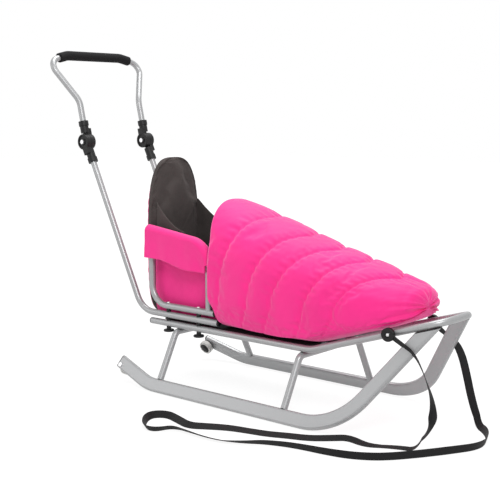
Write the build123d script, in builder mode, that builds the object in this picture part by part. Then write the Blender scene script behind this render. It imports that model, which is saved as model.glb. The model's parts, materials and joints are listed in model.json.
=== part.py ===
"""Child's push sled: tube frame on two leaning flat-oval runners, a clamped push bar with a
folding upper handle, clamped armrest loops, transport wheels, a padded foot muff and a tow strap.

Millimetres. +X points forward, +Y to the sled's left and +Z up. The origin is on the floor,
midway between the two sides and midway between the grip's back and the nose's front.
"""
import os
from math import atan2, cos, degrees, pi, radians, sin, tan

from build123d import *

os.makedirs("parts", exist_ok=True)

# Tube stock
TUBE_D = 18.0
TUBE_R = TUBE_D / 2
PLUG_LIP = 4.0
SEAT_GAP = 0.2

# Runners: flat-oval tube, each in a plane that leans inboard
RUNNER_H = 38.0
RUNNER_W = 16.0
RUNNER_CORNER = 6.0
LEAN = 27.0
HALF_TRACK = 200.0
RUNNER_FLAT_REAR = -258.0
RUNNER_FLAT_FRONT = 381.0
REAR_KICK = 18.5
REAR_KICK_RUN = 135.0
REAR_BEND_R = 160.0
FRONT_RISE = 57.5
FRONT_BEND_R = 184.0
RUNNER_CAP = 2.5

# Hoops that carry the seat
HOOP_REAR_X = -219.0
HOOP_FRONT_X = 219.0
HOOP_BEND_R = 22.0

# Seat rail: one tube, level at the seat and rising to a narrow nose
RAIL_Z = 178.0
RAIL_HALF = 120.0
RAIL_REAR_X = -321.0
RAIL_BEND_X = 248.0
RAIL_RISE = 17.4
NOSE_X = 597.0
NOSE_HALF = 70.0
RAIL_BEND_R = 90.0
NOSE_BEND_R = 50.0

# Seat slats
SLAT_COUNT = 3
SLAT_W = 42.0
SLAT_T = 9.0
SLAT_PITCH = 66.0
SLAT_OVERHANG = 26.0

# Stack of clamped tubes on each rail
SPACER_T = 7.0
SPACER_D = 13.0
CLAMP_XS = (-255.0, -139.0)
SCREW_D = 6.0
HOLE_CLEAR = 0.2
SCREW_HEAD_D = 10.0
SCREW_HEAD_T = 3.0
KNOB_D = 30.0
KNOB_T = 6.0
KNOB_NECK_D = 13.0
KNOB_NECK_T = 8.0

# Push bar
PUSH_FRONT_X = -66.0
PUSH_LEAN = 25.6
PUSH_BEND_R = 70.0

# Armrest loops
LOOP_FRONT_X = -79.0
LOOP_REAR_X = -320.0
LOOP_POST_X = -101.0
LOOP_TOP_REAR_Z = 436.0
LOOP_TOP_FRONT_Z = 408.0
LOOP_BEND_R = 58.0
LOOP_TOP_R = 34.0
LOOP_FRONT_R = 66.0

# Folding joints and handle
PIVOT_X = -592.0
PIVOT_Z = 682.0
JOINT_D = 46.0
JOINT_HALF_T = 16.0
JOINT_GAP = 0.5
JOINT_EDGE = 2.0
JOINT_GROOVE_IN = 10.0
JOINT_GROOVE_OUT = 18.0
JOINT_GROOVE = 2.0
NECK_W = 22.5
NECK_RUN = 39.0
COLLAR_D = 29.0
COLLAR_RUN = 14.0
COLLAR_PITCH = 20.0
TUBE_CLEAR = 0.05
SLEEVE_D = 25.0
SLEEVE_START = 27.0
SLEEVE_LOW = 66.0
SLEEVE_UP = 62.0
PIVOT_BOLT_D = 8.0
PIVOT_CLEAR = 0.05
PIVOT_HEAD_D = 13.0
PIVOT_HEAD_T = 3.0
PIVOT_END_GAP = 0.3
UPPER_LEAN = 13.0
HANDLE_KINK_Z = 791.0
HANDLE_KINK_LEAN = 52.0
HANDLE_TOP_X = -728.0
GRIP_X = -735.0
GRIP_Z = 923.0
HANDLE_BEND_R = 30.0
HANDLE_CORNER_R = 32.0
GRIP_D = 32.0
GRIP_BEVEL = 0.9
GRIP_TAIL = 1.0

# Wheels
WHEEL_D = 42.0
WHEEL_W = 16.0
AXLE_D = 8.0
AXLE_CLEAR = 0.05
WHEEL_X = -380.0
WHEEL_RISE = 33.0
WHEEL_GAP = 3.0
WHEEL_EDGE = 3.0
WHEEL_HUB_D = 18.0
WHEEL_RIM_D = 31.0
WHEEL_DISH = 4.0
WHEEL_END_GAP = 0.5
AXLE_HEAD_D = 13.0
AXLE_HEAD_T = 3.0

# Tow knobs
TOW_X = 463.0
TOW_D = 34.0
TOW_T = 12.0
TOW_EDGE = 2.5
TOW_DISH_D = 13.0
TOW_DISH = 2.0

# Muff
MUFF_FLOOR = 10.0
FLOOR_INSET = 15.0
FLOOR_SIDE_GAP = 3.0
FLOOR_CORNER = 20.0
FLOOR_EDGE = 4.0
BAG_WALL = 26.0
BAG_RAIL_GAP = 2.0
BAG_WIDEST = 0.40
BAG_CROWN = 2.3
BAG_BELLY = 4.0
BAG_PUFF = 4.0
BAG_SEAM = 4.0
SEAM_HALF = 14.0
BAG_SWEEP = 0.75
BAG_DEPTH = 210.0
MOUTH_X = -80.0
MOUTH_FOOT_X = -58.0
MOUTH_FOOT_Z = 246.0
MOUTH_FOOT_RISE = 16.0
MOUTH_HOOD_X = -121.0
MOUTH_HOOD_Z = 440.0
BACK_T = 42.0
BACK_X = -330.0
BACK_TOP_Z = 640.0
BACK_SIDE_GAP = 2.0
BACK_ARCH = 84.0
BACK_FOOT_R = 20.0
BACK_EDGE = 12.0
SIDE_T = 12.0
WING_T = 8.0
WING_GAP = 1.0
WING_END = 4.0
WING_DROP_OUT = 88.0
WING_DROP_IN = 44.0
WING_CURVE = 0.9

# Tow strap
STRAP_D = 6.0
STRAP_GAP = 1.1
STRAP_ROUTE = (
    # from the right knob down to the floor, along the right side and back, up to the left knob
    (507, -108, 228), (548, -116, 211), (580, -126, 169), (610, -139, 121),
    (620, -151, 75), (604, -160, 33), (560, -168, 3), (513, -187, 3),
    (477, -211, 3), (420, -198, 3), (390, -228, 3), (351, -262, 3),
    (301, -279, 3), (255, -300, 3), (202, -311, 3), (151, -326, 3),
    (105, -354, 3), (68, -378, 3), (16, -362, 3), (-34, -349, 3),
    (-64, -377, 3), (-45, -420, 3), (1, -464, 3), (35, -456, 3),
    (48, -410, 3), (106, -412, 3), (154, -415, 3), (204, -409, 3),
    (255, -387, 3), (289, -362, 3), (345, -340, 3), (392, -331, 3),
    (439, -325, 3), (497, -312, 3), (545, -286, 3), (576, -256, 3),
    (609, -210, 3), (634, -170, 3), (663, -120, 3), (687, -75, 3),
    (690, -30, 3), (667, 24, 3), (636, 62, 3), (601, 89, 29),
    (577, 102, 75), (560, 112, 118), (538, 123, 168), (513, 127, 200), (492, 107, 221),
)


# Derived places
X_MID = ((NOSE_X + TUBE_R) + (GRIP_X - GRIP_D / 2)) / 2
LEAN_SIN = sin(radians(LEAN))
LEAN_COS = cos(radians(LEAN))
RUNNER_Z = ((RUNNER_H / 2 - RUNNER_CORNER) * LEAN_COS
            + (RUNNER_W / 2 - RUNNER_CORNER) * LEAN_SIN + RUNNER_CORNER)
PUSH_Z = RAIL_Z + TUBE_D + SPACER_T
LOOP_Z = PUSH_Z + TUBE_D + SPACER_T
HOOP_Z = RAIL_Z - TUBE_D - SEAT_GAP
SIDES = (("left", 1), ("right", -1))


def at_x(x):
    """A station along the sled, measured from midway between the hoops."""
    return x - X_MID


def lean_plane(side, x=0.0, along=0.0, out=0.0):
    """Plane of a runner: local x forward, local y up along the lean, local z outboard."""
    normal = Vector(0, side * LEAN_COS, LEAN_SIN)
    up = Vector(0, -side * LEAN_SIN, LEAN_COS)
    origin = Vector(at_x(x), side * HALF_TRACK, RUNNER_Z) + normal * out + up * along
    return Plane(origin=origin, x_dir=(side, 0, 0), z_dir=normal)


def lean_point(side, x, along, out=0.0):
    """World point in a runner's plane."""
    normal = Vector(0, side * LEAN_COS, LEAN_SIN)
    up = Vector(0, -side * LEAN_SIN, LEAN_COS)
    return Vector(at_x(x), side * HALF_TRACK, RUNNER_Z) + normal * out + up * along


def tube_section(path, diameter):
    """Plane across the start of a path and the circle's radius."""
    return Plane(origin=path @ 0, z_dir=path % 0), diameter / 2


def save(part, name):
    part.label = name
    export_step(part, f"parts/{name}.step")


def polar(x, z, angle_from_vertical, run):
    """Point reached from (x, z) along a line that leans back from the vertical."""
    a = radians(angle_from_vertical)
    return x - run * sin(a), z + run * cos(a)


# Runners
def runner_points(side):
    kick = radians(REAR_KICK)
    rise = radians(FRONT_RISE)
    rear = (RUNNER_FLAT_REAR - REAR_KICK_RUN * cos(kick), REAR_KICK_RUN * sin(kick))
    lift = LEG_ALONG / sin(rise)
    front = (RUNNER_FLAT_FRONT + lift * cos(rise), lift * sin(rise))
    stations = (rear, (RUNNER_FLAT_REAR, 0.0), (RUNNER_FLAT_FRONT, 0.0), front)
    return [lean_point(side, x, along) for x, along in stations]


RISE_TAN = tan(radians(RAIL_RISE))
NOSE_Z = RAIL_Z + (NOSE_X - RAIL_BEND_X) * RISE_TAN


def rail_under(x):
    """Height of the rising rail's underside at a station."""
    return RAIL_Z + (x - RAIL_BEND_X) * RISE_TAN - TUBE_R / cos(radians(RAIL_RISE))


# The legs are cut along the rail's underside, with room for a cap
LEG_ALONG = (NOSE_Z - RUNNER_Z) / LEAN_COS
under_rail = Plane(
    origin=(at_x(RAIL_BEND_X), 0, rail_under(RAIL_BEND_X) - SEAT_GAP),
    x_dir=(0, 1, 0),
    z_dir=(-sin(radians(RAIL_RISE)), 0, cos(radians(RAIL_RISE))),
)

for name, side in SIDES:
    points = runner_points(side)
    with BuildPart() as runner:
        with BuildLine() as path:
            FilletPolyline(*points, radius=[REAR_BEND_R, FRONT_BEND_R])
        start = Plane(origin=path.line @ 0, x_dir=Vector(0, side * LEAN_COS, LEAN_SIN), z_dir=path.line % 0)
        with BuildSketch(start):
            RectangleRounded(RUNNER_W, RUNNER_H, RUNNER_CORNER)
        sweep(path=path.line)
        with BuildSketch(under_rail.offset(-RUNNER_CAP)):
            with Locations((0, -(NOSE_X - RAIL_BEND_X))):
                Rectangle(4 * RAIL_HALF, NOSE_X - RAIL_BEND_X)
        extrude(amount=LEG_ALONG, mode=Mode.SUBTRACT)
        with BuildSketch(lean_plane(side, WHEEL_X, WHEEL_RISE, -RUNNER_W)):
            Circle(AXLE_D / 2 + HOLE_CLEAR)
        extrude(amount=2 * RUNNER_W, mode=Mode.SUBTRACT)
    save(runner.part, f"runner_{name}")

    across_runner = Vector(0, side * LEAN_COS, LEAN_SIN)
    rear_end = path.line @ 0
    rear_out = path.line % 0 * -1
    with BuildPart() as plug:
        with BuildSketch(Plane(origin=rear_end, x_dir=across_runner, z_dir=rear_out)):
            RectangleRounded(RUNNER_W, RUNNER_H, RUNNER_CORNER)
        extrude(amount=PLUG_LIP)
        fillet(plug.faces().sort_by(Axis(rear_end, rear_out))[-1].edges(), PLUG_LIP * 0.6)
    save(plug.part, f"runner_plug_{name}")

    leg_end = path.line @ 1
    leg_dir = path.line % 1
    with BuildPart() as cap:
        with BuildSketch(Plane(origin=leg_end - leg_dir * RUNNER_H * 3, x_dir=across_runner, z_dir=leg_dir)):
            RectangleRounded(RUNNER_W, RUNNER_H, RUNNER_CORNER)
        extrude(amount=RUNNER_H * 3)
        split(bisect_by=under_rail, keep=Keep.BOTTOM)
        split(bisect_by=under_rail.offset(-RUNNER_CAP), keep=Keep.TOP)
    save(cap.part, f"runner_cap_{name}")

    # Transport wheel on a bolt through the runner's rear end
    wheel_out = -(RUNNER_W / 2 + WHEEL_GAP)
    with BuildPart() as wheel:
        with BuildSketch(lean_plane(side, WHEEL_X, WHEEL_RISE, wheel_out - WHEEL_W)):
            Circle(WHEEL_D / 2)
            Circle(AXLE_D / 2 + AXLE_CLEAR, mode=Mode.SUBTRACT)
        extrude(amount=WHEEL_W)
        fillet(wheel.edges().filter_by(GeomType.CIRCLE).group_by(SortBy.RADIUS)[-1], WHEEL_EDGE)
        for face, way in ((wheel_out - WHEEL_W, 1), (wheel_out, -1)):
            with BuildSketch(lean_plane(side, WHEEL_X, WHEEL_RISE, face)):
                Circle(WHEEL_RIM_D / 2)
                Circle(WHEEL_HUB_D / 2, mode=Mode.SUBTRACT)
            extrude(amount=way * WHEEL_DISH, mode=Mode.SUBTRACT)
    save(wheel.part, f"wheel_{name}")
    head_in = wheel_out - WHEEL_W - WHEEL_END_GAP
    head_out = RUNNER_W / 2
    with BuildPart() as axle:
        with BuildSketch(lean_plane(side, WHEEL_X, WHEEL_RISE, head_in)):
            Circle(AXLE_D / 2)
        extrude(amount=head_out - head_in)
        with BuildSketch(lean_plane(side, WHEEL_X, WHEEL_RISE, head_in - AXLE_HEAD_T)):
            Circle(AXLE_HEAD_D / 2)
        extrude(amount=AXLE_HEAD_T)
        with BuildSketch(lean_plane(side, WHEEL_X, WHEEL_RISE, head_out)):
            Circle(AXLE_HEAD_D / 2)
        extrude(amount=AXLE_HEAD_T)
        with BuildSketch(lean_plane(side, WHEEL_X, WHEEL_RISE, wheel_out + WHEEL_END_GAP)):
            Circle(AXLE_HEAD_D / 2)
        extrude(amount=WHEEL_GAP - WHEEL_END_GAP)
    save(axle.part, f"wheel_axle_{name}")

# Hoops
for name, x in (("rear", HOOP_REAR_X), ("front", HOOP_FRONT_X)):
    foot = lean_point(1, x, RUNNER_H / 2)
    top_half = foot.Y - (HOOP_Z - foot.Z) * tan(radians(LEAN))
    with BuildPart() as hoop:
        with BuildLine() as path:
            FilletPolyline(
                (at_x(x), foot.Y, foot.Z),
                (at_x(x), top_half, HOOP_Z),
                (at_x(x), -top_half, HOOP_Z),
                (at_x(x), -foot.Y, foot.Z),
                radius=HOOP_BEND_R,
            )
        plane, radius = tube_section(path.line, TUBE_D)
        with BuildSketch(plane):
            Circle(radius)
        sweep(path=path.line)
    save(hoop.part, f"hoop_{name}")

# Seat rail
rail_points = [
    (at_x(RAIL_REAR_X), RAIL_HALF, RAIL_Z),
    (at_x(RAIL_BEND_X), RAIL_HALF, RAIL_Z),
    (at_x(NOSE_X), NOSE_HALF, NOSE_Z),
    (at_x(NOSE_X), -NOSE_HALF, NOSE_Z),
    (at_x(RAIL_BEND_X), -RAIL_HALF, RAIL_Z),
    (at_x(RAIL_REAR_X), -RAIL_HALF, RAIL_Z),
]
with BuildPart() as rail:
    with BuildLine() as rail_path:
        FilletPolyline(*rail_points, radius=[RAIL_BEND_R, NOSE_BEND_R, NOSE_BEND_R, RAIL_BEND_R])
    plane, radius = tube_section(rail_path.line, TUBE_D)
    with BuildSketch(plane):
        Circle(radius)
    sweep(path=rail_path.line)
    for side in (1, -1):
        with Locations(*[(at_x(x), side * RAIL_HALF, RAIL_Z) for x in CLAMP_XS]):
            Cylinder(SCREW_D / 2 + HOLE_CLEAR, TUBE_D * 2, mode=Mode.SUBTRACT)
save(rail.part, "seat_rail")

# Seat slats across the hoops
slat_z = HOOP_Z + TUBE_R + SEAT_GAP
for i in range(SLAT_COUNT):
    y = (i - (SLAT_COUNT - 1) / 2) * SLAT_PITCH
    with BuildPart() as slat:
        with BuildSketch(Plane.XY.offset(slat_z)):
            with Locations((at_x((HOOP_REAR_X + HOOP_FRONT_X) / 2), y)):
                RectangleRounded(HOOP_FRONT_X - HOOP_REAR_X + 2 * SLAT_OVERHANG, SLAT_W, 5)
        extrude(amount=SLAT_T)
        fillet(slat.faces().sort_by(Axis.Z)[-1].edges(), 2)
    save(slat.part, f"seat_slat_{i + 1}")


def end_plug(end, out, name):
    """Push-in plastic plug: a low domed head on a tube's end."""
    with BuildPart() as plug:
        with BuildSketch(Plane(origin=end, z_dir=out)):
            Circle(TUBE_R)
        extrude(amount=PLUG_LIP)
        fillet(plug.faces().sort_by(Axis(end, out))[-1].edges(), PLUG_LIP * 0.7)
    save(plug.part, name)


end_plug(rail_path.line @ 0, rail_path.line % 0 * -1, "rail_plug_left")
end_plug(rail_path.line @ 1, rail_path.line % 1, "rail_plug_right")

# Push bar tubes and armrest loops, clamped on top of each rail
low_start = polar(PIVOT_X, PIVOT_Z, PUSH_LEAN, -SLEEVE_START)
push_foot_x = PIVOT_X + (PIVOT_Z - PUSH_Z) * tan(radians(PUSH_LEAN))
for name, side in SIDES:
    y = side * RAIL_HALF
    with BuildPart() as push:
        with BuildLine() as path:
            FilletPolyline(
                (at_x(PUSH_FRONT_X), y, PUSH_Z),
                (at_x(push_foot_x), y, PUSH_Z),
                (at_x(low_start[0]), y, low_start[1]),
                radius=PUSH_BEND_R,
            )
        plane, radius = tube_section(path.line, TUBE_D)
        with BuildSketch(plane):
            Circle(radius)
        sweep(path=path.line)
        with Locations(*[(at_x(x), y, PUSH_Z) for x in CLAMP_XS]):
            Cylinder(SCREW_D / 2 + HOLE_CLEAR, TUBE_D * 2, mode=Mode.SUBTRACT)
    save(push.part, f"push_tube_{name}")
    end_plug(path.line @ 0, path.line % 0 * -1, f"push_plug_{name}")

    post_mid = (LOOP_Z + LOOP_TOP_FRONT_Z) / 2
    with BuildPart() as loop:
        with BuildLine() as path:
            FilletPolyline(
                (at_x(LOOP_FRONT_X), y, LOOP_Z),
                (at_x(LOOP_REAR_X), y, LOOP_Z),
                (at_x(LOOP_REAR_X), y, LOOP_TOP_REAR_Z),
                (at_x(LOOP_POST_X), y, LOOP_TOP_FRONT_Z),
                (at_x(LOOP_POST_X), y, post_mid),
                radius=[LOOP_BEND_R, LOOP_TOP_R, LOOP_FRONT_R],
            )
        plane, radius = tube_section(path.line, TUBE_D)
        with BuildSketch(plane):
            Circle(radius)
        sweep(path=path.line)
        with BuildSketch(Plane.XY.offset(LOOP_Z)):
            with Locations((at_x(LOOP_POST_X), y)):
                Circle(TUBE_R)
        extrude(amount=post_mid - LOOP_Z)
        with Locations(*[(at_x(x), y, LOOP_Z) for x in CLAMP_XS]):
            Cylinder(SCREW_D / 2 + HOLE_CLEAR, TUBE_D * 2, mode=Mode.SUBTRACT)
    save(loop.part, f"armrest_loop_{name}")
    end_plug(path.line @ 0, path.line % 0 * -1, f"armrest_plug_{name}")

    # Clamp screws: a screw down through the three tubes, spacers between them, a knob below
    for j, x in enumerate(CLAMP_XS):
        tag = f"{('rear', 'front')[j]}_{name}"
        top = LOOP_Z + TUBE_R
        low = RAIL_Z - TUBE_R
        with BuildPart() as screw:
            with BuildSketch(Plane.XY.offset(low - KNOB_NECK_T)):
                with Locations((at_x(x), y)):
                    Circle(SCREW_D / 2)
            extrude(amount=top - low + KNOB_NECK_T)
            with BuildSketch(Plane.XY.offset(top)):
                with Locations((at_x(x), y)):
                    Circle(SCREW_HEAD_D / 2)
            extrude(amount=SCREW_HEAD_T)
            fillet(screw.faces().sort_by(Axis.Z)[-1].edges(), SCREW_HEAD_T * 0.6)
        save(screw.part, f"clamp_screw_{tag}")
        for k, mid in enumerate(((RAIL_Z + PUSH_Z) / 2, (PUSH_Z + LOOP_Z) / 2)):
            with BuildPart() as spacer:
                with BuildSketch(Plane.XY.offset(mid - SPACER_T / 2)):
                    with Locations((at_x(x), y)):
                        Circle(SPACER_D / 2)
                        Circle(SCREW_D / 2 + HOLE_CLEAR, mode=Mode.SUBTRACT)
                extrude(amount=SPACER_T)
            save(spacer.part, f"clamp_spacer_{('lower', 'upper')[k]}_{tag}")
        with BuildPart() as knob:
            with BuildSketch(Plane.XY.offset(low - KNOB_NECK_T - KNOB_T)):
                with Locations((at_x(x), y)):
                    Circle(KNOB_D / 2)
            extrude(amount=KNOB_T)
            fillet(knob.edges(), KNOB_T * 0.4)
            with BuildSketch(Plane.XY.offset(low - KNOB_NECK_T - 1)):
                with Locations((at_x(x), y)):
                    Circle(KNOB_NECK_D / 2)
            extrude(amount=KNOB_NECK_T + 1)
            with BuildSketch(Plane.XY.offset(low - KNOB_NECK_T)):
                with Locations((at_x(x), y)):
                    Circle(SCREW_D / 2 + HOLE_CLEAR)
            extrude(amount=KNOB_NECK_T + 1, mode=Mode.SUBTRACT)
        save(knob.part, f"clamp_knob_{tag}")

# Folding joints: outer half on the push tube, inner half on the handle
up_dir = (-sin(radians(UPPER_LEAN)), cos(radians(UPPER_LEAN)))
low_dir = (sin(radians(PUSH_LEAN)), -cos(radians(PUSH_LEAN)))


def joint_half(side, direction, length, outer, name):
    """One half of a folding joint: a disc, a neck beside the other half and a tube sleeve."""
    mid = side * RAIL_HALF
    inner_y = mid + side * JOINT_GAP / 2 * (1 if outer else -1)
    outer_y = inner_y + side * JOINT_HALF_T * (1 if outer else -1)
    lo = min(inner_y, outer_y)
    pivot = Vector(at_x(PIVOT_X), 0, PIVOT_Z)
    along = Vector(direction[0], 0, direction[1])
    with BuildPart() as half:
        with BuildSketch(Plane(origin=pivot + Vector(0, lo, 0), x_dir=along, z_dir=(0, 1, 0))):
            Circle(JOINT_D / 2)
            with Locations((NECK_RUN / 2, 0)):
                Rectangle(NECK_RUN, NECK_W)
        extrude(amount=JOINT_HALF_T)
        fillet(half.faces().sort_by(Axis.Y)[-1 if outer_y > inner_y else 0].edges(), JOINT_EDGE)
        sleeve = Plane(origin=pivot + Vector(0, mid, 0) + along * SLEEVE_START, z_dir=along)
        with BuildSketch(sleeve):
            Circle(SLEEVE_D / 2)
        extrude(amount=length - SLEEVE_START)
        # Moulded collars along the sleeve
        for k in range(int((length - SLEEVE_START) / COLLAR_PITCH)):
            with BuildSketch(sleeve.offset(length - SLEEVE_START - COLLAR_RUN - k * COLLAR_PITCH)):
                Circle(COLLAR_D / 2)
            extrude(amount=COLLAR_RUN)
        with BuildSketch(sleeve):
            Circle(TUBE_R + TUBE_CLEAR)
        extrude(amount=length, mode=Mode.SUBTRACT)
        # Ring groove round the pivot on the outer face, and the pivot's bore
        with BuildSketch(Plane(origin=pivot + Vector(0, outer_y, 0), z_dir=(0, 1, 0))):
            Circle(JOINT_GROOVE_OUT)
            Circle(JOINT_GROOVE_IN, mode=Mode.SUBTRACT)
        extrude(amount=JOINT_GROOVE * (-1 if outer_y > inner_y else 1), mode=Mode.SUBTRACT)
        with BuildSketch(Plane(origin=pivot + Vector(0, lo, 0), x_dir=along, z_dir=(0, 1, 0))):
            Circle(PIVOT_BOLT_D / 2 + PIVOT_CLEAR)
        extrude(amount=JOINT_HALF_T, mode=Mode.SUBTRACT)
    save(half.part, name)


for name, side in SIDES:
    joint_half(side, low_dir, SLEEVE_LOW, True, f"joint_lower_{name}")
    joint_half(side, up_dir, SLEEVE_UP, False, f"joint_upper_{name}")
    mid = side * RAIL_HALF
    reach = JOINT_HALF_T + JOINT_GAP / 2 + PIVOT_END_GAP
    with BuildPart() as bolt:
        with BuildSketch(Plane(origin=(at_x(PIVOT_X), mid - reach, PIVOT_Z), z_dir=(0, 1, 0))):
            Circle(PIVOT_BOLT_D / 2)
        extrude(amount=2 * reach)
        for way in (-1, 1):
            with BuildSketch(Plane(origin=(at_x(PIVOT_X), mid + way * reach, PIVOT_Z), z_dir=(0, way, 0))):
                Circle(PIVOT_HEAD_D / 2)
            extrude(amount=PIVOT_HEAD_T)
    save(bolt.part, f"joint_bolt_{name}")

# Handle: one bent tube from sleeve to sleeve
hs = (PIVOT_X + up_dir[0] * SLEEVE_START, PIVOT_Z + up_dir[1] * SLEEVE_START)
kink = (PIVOT_X + (HANDLE_KINK_Z - PIVOT_Z) * up_dir[0] / up_dir[1], HANDLE_KINK_Z)
lift = (kink[0] - HANDLE_TOP_X) / tan(radians(HANDLE_KINK_LEAN))
bend = (HANDLE_TOP_X, HANDLE_KINK_Z + lift)
side_run = [hs, kink, bend, (GRIP_X, GRIP_Z)]
handle_points = [(at_x(x), RAIL_HALF, z) for x, z in side_run]
handle_points += [(at_x(x), -RAIL_HALF, z) for x, z in reversed(side_run)]
with BuildPart() as handle:
    with BuildLine() as path:
        FilletPolyline(
            *handle_points,
            radius=[HANDLE_BEND_R, HANDLE_BEND_R, HANDLE_CORNER_R, HANDLE_CORNER_R, HANDLE_BEND_R, HANDLE_BEND_R],
        )
    plane, radius = tube_section(path.line, TUBE_D)
    with BuildSketch(plane):
        Circle(radius)
    sweep(path=path.line)
save(handle.part, "handle_tube")

# Foam grip, carried round both corner bends
corner = Vector(at_x(GRIP_X), RAIL_HALF, GRIP_Z)
leg = (Vector(at_x(bend[0]), RAIL_HALF, bend[1]) - corner).normalized() * (HANDLE_CORNER_R + GRIP_TAIL)
mirror = Vector(at_x(GRIP_X), -RAIL_HALF, GRIP_Z)
with BuildPart() as grip:
    with BuildLine() as path:
        FilletPolyline(corner + leg, corner, mirror, mirror + leg, radius=HANDLE_CORNER_R)
    with BuildSketch(Plane(origin=path.line @ 0, z_dir=path.line % 0)):
        Circle(GRIP_D / 2)
        Circle(TUBE_R + TUBE_CLEAR, mode=Mode.SUBTRACT)
    sweep(path=path.line)
    for face in grip.faces().filter_by(GeomType.PLANE):
        chamfer(face.outer_wire().edges(), GRIP_BEVEL)
save(grip.part, "grip")

# Tow knobs beside the rising rail
rail_heading = degrees(atan2(RAIL_HALF - NOSE_HALF, NOSE_X - RAIL_BEND_X))
tow_z = RAIL_Z + (TOW_X - RAIL_BEND_X) * RISE_TAN
tow_half = RAIL_HALF - (TOW_X - RAIL_BEND_X) * tan(radians(rail_heading))
tow_hooks = {}
for name, side in SIDES:
    out = Vector(sin(radians(rail_heading)), side * cos(radians(rail_heading)), 0)
    base = Vector(at_x(TOW_X), side * tow_half, tow_z) + out * (TUBE_R + SEAT_GAP)
    with BuildPart() as knob:
        with BuildSketch(Plane(origin=base, z_dir=out)):
            Circle(TOW_D / 2)
        extrude(amount=TOW_T)
        fillet(knob.edges(), TOW_EDGE)
        with BuildSketch(Plane(origin=base + out * TOW_T, z_dir=out)):
            Circle(TOW_DISH_D / 2)
        extrude(amount=-TOW_DISH, mode=Mode.SUBTRACT)
    save(knob.part, f"tow_knob_{name}")
    x, y, z = STRAP_ROUTE[-1 if side > 0 else 0]
    centre = base + out * TOW_T / 2
    reach = Vector(at_x(x), y, z) - centre
    reach = (reach - out * reach.dot(out)).normalized()
    tow_hooks[name] = centre + reach * (TOW_D / 2 + STRAP_GAP)

# Muff: seat floor between the rails
floor_z = slat_z + SLAT_T + SEAT_GAP
with BuildPart() as pad:
    with BuildSketch(Plane.XY.offset(floor_z)):
        with Locations((at_x((RAIL_REAR_X + RAIL_BEND_X) / 2), 0)):
            RectangleRounded(
                RAIL_BEND_X - RAIL_REAR_X - 2 * FLOOR_INSET,
                2 * (RAIL_HALF - TUBE_R - FLOOR_SIDE_GAP),
                FLOOR_CORNER,
            )
    extrude(amount=MUFF_FLOOR)
    fillet(pad.faces().sort_by(Axis.Z)[-1].edges(), FLOOR_EDGE)
save(pad.part, "muff_floor")

# Muff: padded leg bag, open at the back
bag_z = floor_z + MUFF_FLOOR + SEAT_GAP
BAG_BODY = (
    # station, half width, top height
    (-180.0, 144.0, 544.0), (-85.0, 147.0, 526.0), (60.0, 153.0, 483.0), (200.0, 149.0, 437.0),
    (300.0, 141.0, 409.0), (380.0, 128.0, 385.0), (440.0, 108.0, 362.0), (482.0, 80.0, 341.0), (502.0, 52.0, 326.0),
)
# Stations of the seams on top; the first lies behind the mouth and the last is the toe
BAG_SEAMS = (-110.0, 29.0, 156.0, 249.0, 337.0, 440.0, 500.0)
SECTION_POINTS = 12
SECTION_ROUNDS = 40


def bag_floor(x):
    """Underside of the bag: level over the seat, then up along the rising rail."""
    rail_top = RAIL_Z + (x - RAIL_BEND_X) * RISE_TAN + TUBE_R / cos(radians(RAIL_RISE))
    return max(bag_z, rail_top + BAG_RAIL_GAP)


def bag_body(x):
    """Half width, top and underside of the bag's smooth body at a station."""
    x = min(max(x, BAG_BODY[0][0]), BAG_BODY[-1][0])
    for a, b in zip(BAG_BODY, BAG_BODY[1:]):
        if x <= b[0]:
            t = (x - a[0]) / (b[0] - a[0])
            return a[1] + t * (b[1] - a[1]), a[2] + t * (b[2] - a[2]), bag_floor(x)


def bag_point(turn, x, grow):
    """Point of a rounded section, fuller below its widest line; turn runs from the left over the top."""
    half, top, low = bag_body(x)
    wide = low + BAG_WIDEST * (top - low)
    c, s = cos(turn), sin(turn)
    power = 2 / (BAG_CROWN if s > 0 else BAG_BELLY)
    y = (half + grow) * abs(c) ** power * (1 if c > 0 else -1)
    z = wide + (top + grow - wide if s > 0 else low - wide) * abs(s) ** power
    return y, z


def quilt_section(top_x, grow):
    """Plane that sweeps back from the top to the sides, and its section's points in that plane."""
    half, top, low = bag_body(top_x)
    plane = Plane(origin=(at_x(top_x), 0, top), x_dir=(0, 1, 0), z_dir=(1, 0, -BAG_SWEEP))
    points = []
    for k in range(SECTION_POINTS):
        turn = 2 * pi * (k + 0.5) / SECTION_POINTS
        x = top_x
        for _ in range(SECTION_ROUNDS):
            y, z = bag_point(turn, x, grow)
            x = (x + top_x + (z - top) * BAG_SWEEP) / 2
        local = plane.to_local_coords(Vector(at_x(x), y, z))
        points.append((local.X, local.Y))
    return plane, points


def across(x, z):
    """Upright plane across the sled: local x to the left, local y up."""
    return Plane(origin=(at_x(x), 0, z), x_dir=(0, 1, 0), z_dir=(1, 0, 0))


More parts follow.
